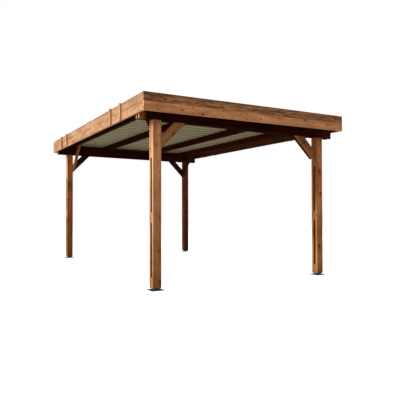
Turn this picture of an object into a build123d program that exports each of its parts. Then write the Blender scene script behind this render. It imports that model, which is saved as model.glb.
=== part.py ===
"""Open timber carport for one car: four posts on steel feet, twin-board beams, rafters,
corner braces, a fascia of two boards all round and a ribbed steel roof that falls to one side.

Millimetres. X runs across the bay, Y from the front to the rear, Z up from the ground.
The origin is on the ground, under the middle of the roof.
"""
import os
from math import hypot, sqrt

from build123d import *

# Posts of three layers, the middle one of blocks with open slots between them
post_side = 120
post_span_across = 2960
post_span_along = 4730
post_arris = 6
block_length = 136
slot_length = 718

# Steel feet under the posts
plate_side = 170
plate_thickness = 8
stem_radius = 30
stem_height = 14
seat_side = 100
seat_thickness = 6
anchor_spacing = 142
anchor_radius = 6.5

# Twin-board beams across the front and the rear
beam_board_thickness = 40
beam_height = 145
roof_fall = 40

# Rafters from the front to the rear, on top of the beams
rafter_width = 60
rafter_height = 105
inner_rafter_offset = 580

# Braces across the bay, held between the beam boards
cross_brace_width = 120
cross_brace_reach = 385

# Braces along the sides, lapped on posts and edge rafters
side_brace_thickness = 45
side_brace_width = 70
side_brace_reach = 485
side_brace_lap = 80

# Fascia of two boards on each side, its top a rise above the rafters
overhang = 220
fascia_thickness = 28
fascia_board_height = 118
fascia_top = 2530
fascia_rise = 65
fascia_arris = 3

# Cover strips that tie the two boards of the side fascias
strip_width = 50
strip_thickness = 30
strip_arris = 4
outer_strip_from_end = 825
inner_strip_from_end = 1250

# Ribbed steel roof sheets, laid across the rafters
sheet_count = 5
ribs_per_sheet = 5
rib_height = 35
rib_crest = 40
rib_flank = 24
sheet_thickness = 2
sheet_end_gap = 12

cut_overrun = 50

# Places that follow from the sizes above
post_x = (post_span_across - post_side) / 2
post_y = (post_span_along - post_side) / 2
roof_width = post_span_across + 2 * overhang
roof_depth = post_span_along + 2 * overhang
inside_width = roof_width - 2 * fascia_thickness
inside_depth = roof_depth - 2 * fascia_thickness
foot_height = plate_thickness + stem_height + seat_thickness
tongue_thickness = post_side - 2 * beam_board_thickness
slot_levels = [foot_height + block_length, foot_height + 2 * block_length + slot_length]
inner_face_x = post_x - post_side / 2
inner_face_y = post_y - post_side / 2
fall_slope = roof_fall / inside_width
rafter_top = fascia_top - fascia_rise
beam_top = rafter_top - rafter_height
beam_underside = beam_top - beam_height
sheet_cover = (inside_depth - 2 * sheet_end_gap) / sheet_count
rib_pitch = sheet_cover / ribs_per_sheet
diagonal = sqrt(2)
standing = (Align.CENTER, Align.CENTER, Align.MIN)

side_words = {-1: "left", 1: "right"}
end_words = {-1: "front", 1: "rear"}


def on_fall(level, x):
    """Height at x of a roof level that is given on the centre line."""
    return level - fall_slope * x


def prism(points, direction, length):
    """Closed outline drawn through the points and pushed along a direction."""
    outline = make_face(Polyline(*points, close=True))
    return extrude(outline, amount=length, dir=direction)


def fall_bar(x_low, x_high, y_low, y_high, bottom, top):
    """Bar with upright sides whose top and bottom follow the roof's fall."""
    corners = [(x_low, bottom), (x_high, bottom), (x_high, top), (x_low, top)]
    points = [(x, y_low, on_fall(level, x)) for x, level in corners]
    return prism(points, (0, 1, 0), y_high - y_low)


def pushed_on_fall(points, width):
    """Outline in an upright plane along Y, pushed towards +X down the roof's fall."""
    return prism(points, (1, 0, -fall_slope), width * hypot(1, fall_slope))


def post(side, end):
    """Post of three layers, with eased edges, two slots and a tongue between the beam boards."""
    x, y = side * post_x, end * post_y
    section = chamfer(Rectangle(post_side, post_side).vertices(), post_arris)
    length = beam_top + roof_fall - foot_height
    timber = extrude(section, amount=length)
    timber = Pos(x, y, foot_height) * timber
    reach = post_side / 2 + cut_overrun
    spare_top = beam_top + roof_fall + cut_overrun
    timber -= fall_bar(x - reach, x + reach, y - reach, y + reach, beam_top, spare_top)
    for face in (-1, 1):
        edges = sorted((y + face * tongue_thickness / 2, y + face * reach))
        timber -= fall_bar(x - reach, x + reach, *edges, beam_underside, spare_top)
    slot = Box(2 * reach, tongue_thickness, slot_length, align=standing)
    for level in slot_levels:
        timber -= Pos(x, y, level) * slot
    return timber


def foot(side, end):
    """Base plate with four anchor holes, a round stem and the seat under the post."""
    plate = Box(plate_side, plate_side, plate_thickness, align=standing)
    stem = Pos(0, 0, plate_thickness) * Cylinder(stem_radius, stem_height, align=standing)
    seat_level = plate_thickness + stem_height
    seat = Pos(0, 0, seat_level) * Box(seat_side, seat_side, seat_thickness, align=standing)
    hole = Cylinder(anchor_radius, plate_thickness + 2 * cut_overrun)
    holes = GridLocations(anchor_spacing, anchor_spacing, 2, 2) * hole
    return Pos(side * post_x, end * post_y, 0) * (plate + stem + seat - holes)


def beam_board(end, face):
    """One of the two boards of a beam, flush with the post's face."""
    outer = end * post_y + face * post_side / 2
    inner = end * post_y + face * tongue_thickness / 2
    y_low, y_high = sorted((outer, inner))
    half = inside_width / 2
    return fall_bar(-half, half, y_low, y_high, beam_underside, beam_top)


def rafter(x):
    """Rafter between the front and rear fascias, resting on both beams."""
    half = rafter_width / 2
    return fall_bar(x - half, x + half, -inside_depth / 2, inside_depth / 2, beam_top, rafter_top)


def cross_brace(side, end):
    """Brace at 45 degrees from the post's inner face to the beam's top, between its boards."""
    face_x = side * inner_face_x
    lower = on_fall(beam_underside, face_x) - cross_brace_reach
    upper = lower + cross_brace_width * diagonal
    top = on_fall(beam_top, face_x)
    runs = [(top - z) / (1 - side * fall_slope) for z in (lower, upper)]
    y_low = end * post_y - tongue_thickness / 2
    points = [
        (face_x, y_low, lower),
        (face_x - side * runs[0], y_low, lower + runs[0]),
        (face_x - side * runs[1], y_low, upper + runs[1]),
        (face_x, y_low, upper),
    ]
    return prism(points, (0, 1, 0), tongue_thickness)


def side_brace(side, end):
    """Brace at 45 degrees, lapped on the inner faces of the post and of the edge rafter."""
    x_low = min(side * inner_face_x, side * (inner_face_x - side_brace_thickness))
    face_y = end * inner_face_y
    back_y = end * (post_y - tongue_thickness / 2)
    underside = on_fall(beam_top, side * inner_face_x)
    lower = underside - side_brace_reach
    top = underside + side_brace_lap
    rise = side_brace_width * diagonal
    points = [
        (x_low, back_y, lower),
        (x_low, face_y, lower),
        (x_low, face_y - end * (top - lower), top),
        (x_low, face_y - end * (top - lower - rise), top),
        (x_low, back_y, lower + rise - beam_board_thickness),
    ]
    return prism(points, (1, 0, 0), side_brace_thickness)


def fascia_outline(inner, outward, bottom):
    """Section of one fascia board as pairs of distance and height, with eased outer edges."""
    outer = inner + outward * fascia_thickness
    eased = outer - outward * fascia_arris
    top = bottom + fascia_board_height
    return [
        (inner, bottom),
        (eased, bottom),
        (outer, bottom + fascia_arris),
        (outer, top - fascia_arris),
        (eased, top),
        (inner, top),
    ]


def end_fascia_board(end, bottom):
    """Fascia board over the full width, at the front or the rear."""
    outline = fascia_outline(end * inside_depth / 2, end, bottom)
    points = [(-roof_width / 2, y, z) for y, z in outline]
    return prism(points, (1, 0, 0), roof_width)


def side_fascia_board(side, bottom):
    """Fascia board along a side, between the front and rear boards."""
    outline = fascia_outline(side * inside_width / 2, side, bottom)
    points = [(x, -inside_depth / 2, z) for x, z in outline]
    return prism(points, (0, 1, 0), inside_depth)


def cover_strip(side, y):
    """Upright strip on the outside of a side fascia."""
    inner = side * roof_width / 2
    outer = inner + side * strip_thickness
    eased = outer - side * strip_arris
    half = strip_width / 2
    bottom = fascia_top - 2 * fascia_board_height
    points = [
        (inner, y - half, bottom),
        (eased, y - half, bottom),
        (outer, y - half + strip_arris, bottom),
        (outer, y + half - strip_arris, bottom),
        (eased, y + half, bottom),
        (inner, y + half, bottom),
    ]
    return prism(points, (0, 0, 1), fascia_top - bottom)


def rib_line(index):
    """Underside of one roof sheet as pairs of distance and height, with its lap ribs."""
    start = -inside_depth / 2 + sheet_end_gap + index * sheet_cover
    first, last = index == 0, index == sheet_count - 1
    valley = rib_pitch - rib_crest - 2 * rib_flank
    line = [(start, 0)] if first else []
    for rib in range(ribs_per_sheet + 1):
        foot_up = start + rib * rib_pitch + valley / 2
        crest_on = foot_up + rib_flank
        crest_off = crest_on + rib_crest
        foot_down = crest_off + rib_flank
        if rib == 0 and not first:
            lap = rib_height + sheet_thickness
            line += [(crest_on, lap), (crest_off + sheet_thickness, lap), (foot_down + sheet_thickness, 0)]
        elif rib < ribs_per_sheet:
            line += [(foot_up, 0), (crest_on, rib_height), (crest_off, rib_height), (foot_down, 0)]
        elif not last:
            line += [(foot_up, 0), (crest_on, rib_height), (crest_off, rib_height)]
        else:
            line += [(start + sheet_cover, 0)]
    return line


def roof_sheet(index):
    """Ribbed sheet across the rafters, its first rib lapped over the sheet before it."""
    x_low = -inside_width / 2 + sheet_end_gap
    level = on_fall(rafter_top, x_low)
    line = rib_line(index)
    under = [(x_low, y, level + z) for y, z in line]
    over = [(x_low, y, level + z + sheet_thickness) for y, z in reversed(line)]
    return pushed_on_fall(under + over, inside_width - 2 * sheet_end_gap)


def carport():
    """All pieces by node name."""
    pieces = {}
    for end, end_word in end_words.items():
        for side, side_word in side_words.items():
            corner = f"{end_word}_{side_word}"
            pieces[f"post_{corner}"] = post(side, end)
            pieces[f"foot_{corner}"] = foot(side, end)
            pieces[f"cross_brace_{corner}"] = cross_brace(side, end)
            pieces[f"side_brace_{corner}"] = side_brace(side, end)
        pieces[f"beam_{end_word}_outer"] = beam_board(end, end)
        pieces[f"beam_{end_word}_inner"] = beam_board(end, -end)
    for side, side_word in side_words.items():
        pieces[f"rafter_edge_{side_word}"] = rafter(side * (inner_face_x + rafter_width / 2))
        pieces[f"rafter_inner_{side_word}"] = rafter(side * inner_rafter_offset)
    courses = {"upper": fascia_top - fascia_board_height, "lower": fascia_top - 2 * fascia_board_height}
    for course, bottom in courses.items():
        for end, end_word in end_words.items():
            pieces[f"fascia_{end_word}_{course}"] = end_fascia_board(end, bottom)
        for side, side_word in side_words.items():
            pieces[f"fascia_{side_word}_{course}"] = side_fascia_board(side, bottom)
    for side, side_word in side_words.items():
        for end, end_word in end_words.items():
            for place, inset in (("outer", outer_strip_from_end), ("inner", inner_strip_from_end)):
                name = f"cover_strip_{side_word}_{end_word}_{place}"
                pieces[name] = cover_strip(side, end * (roof_depth / 2 - inset))
    for index in range(sheet_count):
        pieces[f"roof_sheet_{index + 1}"] = roof_sheet(index)
    return pieces


os.makedirs("parts", exist_ok=True)
for node, solid in carport().items():
    export_step(solid, f"parts/{node}.step")
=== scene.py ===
"""Open timber carport: stained boards with eased edges, ribbed steel roof, screws, bolts and a plain studio.

Metres. X runs across the bay, Y from the front to the rear, Z up from the ground.
"""
import math
import random
import zlib

import bmesh
import bpy
from mathutils import Matrix, Vector


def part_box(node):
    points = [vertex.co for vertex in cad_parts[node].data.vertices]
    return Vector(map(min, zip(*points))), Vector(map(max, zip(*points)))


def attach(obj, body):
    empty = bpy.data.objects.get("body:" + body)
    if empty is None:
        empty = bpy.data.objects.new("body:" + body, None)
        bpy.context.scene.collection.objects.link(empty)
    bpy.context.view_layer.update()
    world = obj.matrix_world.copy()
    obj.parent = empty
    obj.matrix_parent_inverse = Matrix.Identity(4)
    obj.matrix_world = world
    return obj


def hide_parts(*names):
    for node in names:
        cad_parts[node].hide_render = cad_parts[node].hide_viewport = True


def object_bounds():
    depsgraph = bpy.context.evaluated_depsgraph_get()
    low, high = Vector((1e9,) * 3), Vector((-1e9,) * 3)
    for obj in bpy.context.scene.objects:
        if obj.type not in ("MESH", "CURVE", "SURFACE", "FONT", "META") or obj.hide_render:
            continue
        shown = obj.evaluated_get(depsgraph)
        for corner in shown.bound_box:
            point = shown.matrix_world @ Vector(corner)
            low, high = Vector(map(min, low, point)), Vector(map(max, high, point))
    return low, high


bl_info = {
    "name": "Timber Carport",
    "version": (1, 0, 0),
    "blender": (4, 5, 0),
    "location": "View3D > Sidebar > Carport",
    "description": "Finishes an open timber carport with a ribbed steel roof",
    "category": "Object",
}

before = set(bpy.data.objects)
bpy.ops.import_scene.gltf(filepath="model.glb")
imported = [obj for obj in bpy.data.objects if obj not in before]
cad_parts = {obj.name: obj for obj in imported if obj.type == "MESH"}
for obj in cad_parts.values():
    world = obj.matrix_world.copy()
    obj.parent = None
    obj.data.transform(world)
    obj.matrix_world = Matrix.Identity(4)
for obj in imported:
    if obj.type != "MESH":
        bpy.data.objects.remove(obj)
cad_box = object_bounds()

ENDS = ("front", "rear")
SIDES = ("left", "right")
CORNERS = [f"{end}_{side}" for end in ENDS for side in SIDES]
PAIR = ("outer", "inner")
RAFTERS = [f"rafter_{row}_{side}" for row in ("edge", "inner") for side in SIDES]
SHEETS = sorted(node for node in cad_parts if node.startswith("roof_sheet"))
ACROSS = Vector((1, 0, 0))
ALONG = Vector((0, 1, 0))
UP = Vector((0, 0, 1))
WAY = {"front": -ALONG, "rear": ALONG, "left": -ACROSS, "right": ACROSS}
WHITE = (1.0, 1.0, 1.0)
MERGE_GAP = 1e-5
LEVEL_DIGITS = 5
LENGTH_SPAN = 10


def colour_setting(name, description, default):
    """A colour that a user may change."""
    return bpy.props.FloatVectorProperty(
        name=name, description=description, subtype="COLOR", size=3, min=0, max=1, default=default)


def length_setting(name, description, default):
    """A length that a user may change, by a factor of up to the span either way."""
    return bpy.props.FloatProperty(
        name=name, description=description, unit="LENGTH", default=default,
        min=default / LENGTH_SPAN, max=default * LENGTH_SPAN)


def angle_setting(name, description, degrees):
    """An angle that a user may change."""
    return bpy.props.FloatProperty(
        name=name, description=description, subtype="ANGLE", default=math.radians(degrees))


def place_setting(name, description, default):
    """A place that a user may change."""
    return bpy.props.FloatVectorProperty(
        name=name, description=description, subtype="TRANSLATION", size=3, default=default)


def strength_setting(name, description, default, most):
    """A strength of light that a user may change."""
    return bpy.props.FloatProperty(name=name, description=description, min=0, max=most, default=default)


class TimberSettings(bpy.types.PropertyGroup):
    """Stain and grain of the boards."""

    stain_light: colour_setting(
        "Light stain", "Colour of the palest streaks in the stained boards", (0.7, 0.39, 0.2))
    stain_middle: colour_setting(
        "Middle stain", "Colour of most of the stained boards", (0.51, 0.25, 0.113))
    stain_dark: colour_setting(
        "Dark stain", "Colour of the dark streaks and of the late wood", (0.26, 0.1, 0.038))
    knot: colour_setting("Knot", "Colour of the knots", (0.085, 0.03, 0.012))
    # This colour also paints the shade under the beams at the post heads.
    weathered_and_shade: colour_setting("Weathered", "Colour of boards darkened by rain", (0.115, 0.042, 0.018))
    bare: colour_setting(
        "Bare timber", "Colour of worn edges and of ends that were sawn after staining", (0.66, 0.44, 0.26))
    ring_width: length_setting("Ring width", "Width of one growth ring", 0.0052)
    knot_spacing: length_setting("Knot spacing", "Usual distance between knots along a board", 0.42)
    knot_radius: length_setting("Knot radius", "Radius of the largest knots", 0.017)
    pin_spacing: length_setting(
        "Pin knot spacing", "Usual distance between pin knots along a board", 0.095)
    pin_radius: length_setting("Pin knot radius", "Radius of the largest pin knots", 0.0075)
    board_arris: length_setting(
        "Board arris", "Rounding along the edges of beams, rafters, posts and braces", 0.004)
    trim_arris: length_setting(
        "Trim arris", "Rounding along the edges of fascia boards and cover strips", 0.0012)


class SteelSettings(bpy.types.PropertyGroup):
    """Coats and finishes of the steel pieces."""

    top_coat: colour_setting(
        "Top coat", "Colour of the coat on the upper side of the roof sheets", (0.33, 0.335, 0.32))
    # The under coat's yellow tint is partly painted light, standing in for warm light under the roof.
    under_coat: colour_setting(
        "Under coat", "Colour of the coat on the underside of the roof sheets", (0.44, 0.356, 0.168))
    foot_coat: colour_setting("Foot coat", "Colour of the powder coat on the feet", (0.016, 0.016, 0.017))
    # Rib shade is painted shade that darkens the insides of the ribs seen from below.
    rib_shade: colour_setting(
        "Rib shade", "Colour of the grime inside the ribs, seen from below", (0.12, 0.1, 0.055))
    dust: colour_setting("Dust", "Colour of dust and dried splashes", (0.24, 0.2, 0.15))
    zinc: colour_setting("Zinc", "Colour of the zinc on the roof screws", (0.46, 0.46, 0.47))
    bolt: colour_setting(
        "Bolt", "Colour of the black coat on bolts, nuts and washers", (0.02, 0.011, 0.007))
    lacquer: colour_setting("Lacquer", "Colour of the brown lacquered screws", (0.24, 0.11, 0.05))
    bronze: colour_setting("Bronze", "Colour of the dark screws in the fascia", (0.05, 0.032, 0.022))


class FastenerSettings(bpy.types.PropertyGroup):
    """Screws and bolts."""

    screw_radius: length_setting("Screw head radius", "Radius of a screw head in the boards", 0.0055)
    screw_rise: length_setting("Screw head rise", "Height of a screw head over its cup washer", 0.0003)
    small_screw_radius: length_setting(
        "Small screw radius", "Radius of a screw head in the sides, the posts and the braces", 0.0048)
    small_cup_radius: length_setting(
        "Small cup radius", "Radius of the ring round a small screw head", 0.0062)
    cup_radius: length_setting("Cup washer radius", "Radius of the cup washer round a screw head", 0.008)
    cup_rise: length_setting("Cup washer rise", "Height of the cup washer over the board", 0.0003)
    bolt_radius: length_setting(
        "Bolt head radius", "Radius of a hexagon bolt head, over the corners", 0.0104)
    bolt_rise: length_setting("Bolt head rise", "Height of a hexagon bolt head", 0.0068)
    washer_radius: length_setting("Washer radius", "Radius of the washer under a bolt head", 0.0185)
    washer_rise: length_setting("Washer rise", "Thickness of the washer under a bolt head", 0.0025)
    roof_screw_radius: length_setting(
        "Roof screw radius", "Radius of the hexagon head of a roof screw", 0.0046)
    roof_screw_rise: length_setting(
        "Roof screw rise", "Height of the hexagon head of a roof screw", 0.0045)
    seal_radius: length_setting("Seal radius", "Radius of the sealing washer under a roof screw", 0.008)
    seal_rise: length_setting("Seal rise", "Thickness of the sealing washer under a roof screw", 0.002)


class StageSettings(bpy.types.PropertyGroup):
    """Camera, light and floor."""

    camera_place: place_setting("Camera place", "Where the camera stands", (-3.9091, -7.9342, 1.083))
    camera_heading: angle_setting(
        "Camera heading", "Turn of the view from straight ahead to the right", 29.3304)
    camera_pitch: angle_setting("Camera pitch", "Tilt of the view upwards", 0.9118)
    camera_roll: angle_setting("Camera roll", "Turn of the camera about its own view", -0.1341)
    camera_lens: bpy.props.FloatProperty(
        name="Camera lens", description="Focal length on a sensor 36 mm wide",
        unit="CAMERA", min=10, max=200, default=41.909)
    fill_colour: colour_setting(
        "Fill colour", "Colour and strength of the even light from all round", (0.49, 0.37, 0.265))
    key_strength: strength_setting(
        "Key strength", "Strength of the key light from the left", 5.5, most=20)
    key_colour: colour_setting("Key colour", "Colour of the key light", (0.69, 0.83, 1.0))
    key_elevation: angle_setting("Key elevation", "Height of the key light above the horizon", 27)
    key_heading: angle_setting(
        "Key heading", "Direction that the key light comes from, turned from the front to the left", 97)
    key_softness: angle_setting("Key softness", "Angle that the key light fills, for soft shadows", 24)
    softbox_place: place_setting(
        "Softbox place", "Middle of the long softbox on the left", (-3.5, 0.3, 1.25))
    softbox_length: length_setting("Softbox length", "Length of the softbox, along the carport", 6.6)
    softbox_height: length_setting("Softbox height", "Height of the softbox", 2.0)
    softbox_power: strength_setting("Softbox power", "Power of the softbox in watts", 12.0, most=2000)
    floor_radius: length_setting("Floor radius", "Radius of the floor", 40.0)
    floor_fade: length_setting("Floor fade", "Radius from which the floor fades into the background", 7.0)
    floor_colour: colour_setting("Floor colour", "Colour of the pale floor", (0.5, 0.5, 0.5))
    floor_glow: strength_setting(
        "Floor glow", "Light that the white sweep adds to the floor as it is seen", 0.84, most=2)


class Value:
    """An output of a node. Arithmetic on it adds Math nodes to the same tree."""

    def __init__(self, graph, socket):
        self.graph = graph
        self.socket = socket

    def out(self, name):
        """Another output of the same node."""
        return Value(self.graph, self.socket.node.outputs[name])

    def __add__(self, other):
        return self.graph.math("ADD", self, other)

    def __radd__(self, other):
        return self.graph.math("ADD", other, self)

    def __sub__(self, other):
        return self.graph.math("SUBTRACT", self, other)

    def __rsub__(self, other):
        return self.graph.math("SUBTRACT", other, self)

    def __mul__(self, other):
        return self.graph.math("MULTIPLY", self, other)

    def __rmul__(self, other):
        return self.graph.math("MULTIPLY", other, self)

    def __truediv__(self, other):
        return self.graph.math("DIVIDE", self, other)

    def __rtruediv__(self, other):
        return self.graph.math("DIVIDE", other, self)

    def __pow__(self, other):
        return self.graph.math("POWER", self, other)

    def __rpow__(self, other):
        return self.graph.math("POWER", other, self)


def opaque(colour):
    """Colour with full alpha. A node's output stays as it is."""
    return colour if isinstance(colour, Value) else (*colour[:3], 1.0)


def set_stops(ramp, stops):
    """Writes the stops of a colour ramp."""
    while len(ramp.elements) < len(stops):
        ramp.elements.new(1.0)
    for element, (place, colour) in zip(ramp.elements, stops):
        element.position = place
        element.color = opaque(colour)


class Graph:
    """A shader or geometry node tree under construction."""

    # Places of the two colours and of the mixed colour among a Mix node's sockets.
    MIX_FIRST, MIX_SECOND, MIX_RESULT = 6, 7, 2

    def __init__(self, tree):
        self.tree = tree

    def add(self, kind, settings=None, sockets=None, output=0):
        """Adds a node of a kind, first its settings, then the values or links of its sockets."""
        node = self.tree.nodes.new(kind)
        for key, value in (settings or {}).items():
            if key == "stops":
                set_stops(node.color_ramp, value)
            else:
                setattr(node, key, value)
        for key, value in (sockets or {}).items():
            for one in value if isinstance(value, list) else [value]:
                if isinstance(one, Value):
                    self.tree.links.new(one.socket, node.inputs[key])
                else:
                    node.inputs[key].default_value = one
        return Value(self, node.outputs[output]) if len(node.outputs) else node

    def math(self, operation, *operands):
        """One Math node."""
        return self.add("ShaderNodeMath", {"operation": operation}, dict(enumerate(operands)))

    def vector_math(self, operation, *operands, output=0):
        """One Vector Math node."""
        sockets = dict(enumerate(operands))
        return self.add("ShaderNodeVectorMath", {"operation": operation}, sockets, output)

    def vector(self, x, y, z):
        """Three values as one vector."""
        return self.add("ShaderNodeCombineXYZ", None, {0: x, 1: y, 2: z})

    def parts(self, vector):
        """The three values of a vector."""
        apart = self.add("ShaderNodeSeparateXYZ", None, {0: vector})
        return [apart.out(axis) for axis in "XYZ"]

    def length(self, vector):
        """Length of a vector."""
        return self.vector_math("LENGTH", vector, output="Value")

    def place(self):
        """Place on the object, which is also the place in the carport's frame."""
        return self.add("ShaderNodeTexCoord", None, None, "Object")

    def attribute(self, name):
        """Vector that the mesh carries under a name."""
        return self.add("ShaderNodeAttribute", {"attribute_name": name}, None, "Vector")

    def noise(self, vector, scale, detail=2.0, roughness=0.5):
        """Noise around a half."""
        sockets = {"Vector": vector, "Scale": scale, "Detail": detail, "Roughness": roughness}
        return self.add("ShaderNodeTexNoise", None, sockets)

    def smooth(self, value, low, high):
        """Eased step from 0 at low to 1 at high."""
        sockets = {"Value": value, "From Min": low, "From Max": high}
        return self.add("ShaderNodeMapRange", {"interpolation_type": "SMOOTHSTEP"}, sockets)

    def band(self, value, low, full, fade, high):
        """Eased step up from low to full, and down again from fade to high."""
        return self.smooth(value, low, full) * (1.0 - self.smooth(value, fade, high))

    def mix(self, factor, first, second):
        """Two colours mixed by a factor."""
        sockets = {"Factor": factor, self.MIX_FIRST: opaque(first), self.MIX_SECOND: opaque(second)}
        return self.add("ShaderNodeMix", {"data_type": "RGBA"}, sockets, self.MIX_RESULT)

    def ramp(self, value, stops):
        """Colour ramp with stops as pairs of place and colour."""
        return self.add("ShaderNodeValToRGB", {"stops": stops}, {0: value})

    def bump(self, height, depth):
        """Normal from a height in shares of a depth."""
        return self.add("ShaderNodeBump", None, {"Strength": 1.0, "Distance": depth, "Height": height})


def new_material(name):
    """Graph of a new material, and a function that closes it with a Principled shader."""
    made = bpy.data.materials.new(name)
    made.use_nodes = True
    made.node_tree.nodes.clear()
    graph = Graph(made.node_tree)

    def close(**sockets):
        named = {key.replace("_", " "): value for key, value in sockets.items()}
        shader = graph.add("ShaderNodeBsdfPrincipled", None, named)
        graph.add("ShaderNodeOutputMaterial", None, {"Surface": shader})
        return made

    return graph, close


def material(name, make, *settings):
    """A finish by name, made the first time that it is needed."""
    return bpy.data.materials.get(name) or make(name, *settings)


def points(node):
    """Corner points of a CAD node's mesh."""
    return [vert.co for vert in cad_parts[node].data.vertices]


def middle(box):
    """Middle of a box given by its two corners."""
    return (box[0] + box[1]) / 2


def face_at(box, way):
    """Where the face of a box towards one of the main ways lies, along that way's axis."""
    axis = max(range(3), key=lambda number: abs(way[number]))
    corner = box[1] if way[axis] > 0 else box[0]
    return corner[axis]


def layer_planes(end):
    """Front and rear face of the posts' middle layer, which is also the gap between the beam boards."""
    boxes = [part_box(f"beam_{end}_{board}") for board in PAIR]
    first, second = sorted(boxes, key=lambda box: box[0].y)
    return first[1].y, second[0].y


def shoulder_levels(node, plane):
    """Height of a post's front shoulder at its left and its right edge."""
    centre = middle(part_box(node)).x
    shoulder = [p for p in points(node) if p.y < plane - MERGE_GAP]
    return max(p.z for p in shoulder if p.x < centre), max(p.z for p in shoulder if p.x > centre)


def block_levels(corner, head):
    """Lower and upper end of each block between the slots of a post, the last one up to a head."""
    end, _ = corner.split("_")
    node = f"post_{corner}"
    low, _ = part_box(node)
    beam_low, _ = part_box(f"beam_{end}_outer")
    plane, _ = layer_planes(end)
    wall = [p.z for p in points(node) if abs(p.y - plane) < MERGE_GAP and p.x < low.x + MERGE_GAP]
    slots = sorted({round(z, LEVEL_DIGITS) for z in wall if low.z + MERGE_GAP < z < beam_low.z})
    levels = [low.z, *slots, head]
    return list(zip(levels[::2], levels[1::2]))


def pan_top(sheet, x):
    """Height of the upper side of a sheet's flat pans at x."""
    low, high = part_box(sheet)
    ends = []
    for edge in (low.x, high.x):
        levels = sorted({round(p.z, LEVEL_DIGITS) for p in points(sheet) if abs(p.x - edge) < MERGE_GAP})
        ends.append(levels[1])
    return ends[0] + (ends[1] - ends[0]) * (x - low.x) / (high.x - low.x)


# Noise in the timber: waves a metre along the grain and across it, detail and roughness.
BROAD_STREAKS = (0.6, 26.0, 3.0, 0.6)
FIBRES = (4.0, 260.0, 3.0, 0.6)
CLOUDS = (2.4, 9.0, 4.0, 0.62)
DRYING_CRACKS = (0.8, 46.0, 0.0, 0.5)
RAIN_STREAKS = (2.2, 26.0, 4.0, 0.7)
BLOTCHES = (7.0, 44.0, 3.0, 0.65)
RING_DRIFT = (0.9, 5.0, 2.0, 0.5)
# Where masks begin and end, on the noise or mask that they are taken from.
STAIN_STOPS = (0.3, 0.5, 0.72)
LATE_WOOD_BAND = (0.35, 0.9, 0.93, 1.0)
CRACK_EDGE = (0.004, 0.016)
CRACK_PATCH = (0.55, 0.66)
RAIN_EDGE = (0.4, 0.62)
DAMP_EDGE = (0.36, 0.6)
WEAR_PATCH = (0.42, 0.7)
# Knots, with their edges in shares of a knot's radius.
KNOT_EDGE = (0.7, 1.15)
KNOT_RIM = (0.55, 0.95, 1.0, 1.7)
KNOT_SWIRL = (0.8, 5.0)
PIN_EDGE = (0.7, 1.2)
KNOT_LEAST = 0.0004
PIN_LEAST = 0.0002
KNOT_SMALLEST_SHARE = 0.35
KNOT_STRETCH = 0.7
STRAY_ALONG_SHARE = 0.4
STRAY_ACROSS = 0.1
RAGGED_WAVES = 60.0
RAGGED_DEPTH = 0.012
PIN_RAGGED_SHARE = 0.3
# Growth rings: depth of the pith behind a board, and how far noise and knots push the rings aside.
PITH_DEPTH = 0.055
RING_WANDER = 0.05
RING_SWIRL = 0.012
ACROSS_SHARE = 0.6
# Damp marks and painted shade: heights over the ground, and depths below the top of the fascia; the head
# band is painted shade under the beams, partly damp.
SPLASH_HEIGHTS = (0.04, 0.26)
HEAD_SHADE_DEPTHS = (0.44, 0.31, 0.31, 0.25)
RIM_DEPTHS = (0.022, 0.004)
SPLASH_SHARE = 0.15
HEAD_SHADE_SHARE = 0.2
RIM_SHARE = 0.75
# Tone of the stain by height, which is painted shade that darkens boards towards the ground, and painted
# light on the beam ends beyond the edge rafters.
GROUND_SHADE_TONE = 0.46
GROUND_SHADE_HEIGHTS = (-0.2, 2.2)
LIT_END_REACH = (0.14, 0.2)
LIT_END_BACK = (0.0, -1.0)
LIT_END_TONE = 0.5
RIGHT_FROM_SHARE = 0.1
RIGHT_LIGHT_TONE = 0.035
RIGHT_END_LIGHT_TONE = 0.05
# How fast green and blue fade as the stain gets deeper, as powers of what is left of its tone.
GREEN_DEPTH = 0.45
BLUE_DEPTH = 1.4
# Depth of the bump and strength of the gloss of each finish.
GRAIN_DEPTH = 0.0007
SHEET_DEPTH = 0.00012
FOOT_DEPTH = 0.00015
METAL_DEPTH = 0.0002
STAIN_GLOSS = 0.22
DARK_GLOSS = 0.02
SHEET_GLOSS = 0.25
METAL_GLOSS = 0.15


def grain_noise(graph, place, along, across, detail, roughness):
    """Noise drawn out along the grain of a board."""
    drawn_out = graph.vector_math("MULTIPLY", place, (along, across, across))
    return graph.noise(drawn_out, 1.0, detail, roughness)


def knot_row(graph, place, knots, spacing, radius, least, ragged):
    """Distance from the nearest of one row of knots along a board, in shares of that knot's radius."""
    along, across, _ = graph.parts(place)
    whorl = along / spacing
    number = graph.math("FLOOR", whorl)
    dice = graph.add("ShaderNodeTexWhiteNoise", {"noise_dimensions": "1D"}, {"W": number}, "Color")
    stray_along, stray_across, size = graph.parts(dice)
    gap_along = (whorl - number - 0.5 - (stray_along - 0.5) * STRAY_ALONG_SHARE) * spacing
    gap_across = across - (stray_across - 0.5) * STRAY_ACROSS
    reach = graph.length(graph.vector(gap_along * KNOT_STRETCH, gap_across, 0.0))
    size = size * (1.0 - KNOT_SMALLEST_SHARE) + KNOT_SMALLEST_SHARE
    return (reach + ragged) / (size * radius * knots + least)


def growth_rings(graph, place, swirl, ring_width):
    """Late wood of the growth rings round a pith behind the board."""
    _, across, through = graph.parts(place)
    drift = (grain_noise(graph, place, *RING_DRIFT) - 0.5) * RING_WANDER + swirl * RING_SWIRL
    from_pith = graph.vector(across + drift * ACROSS_SHARE, through + drift + PITH_DEPTH, 0.0)
    ring = graph.math("FRACT", graph.length(from_pith) / ring_width)
    return graph.band(ring, *LATE_WOOD_BAND)


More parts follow.
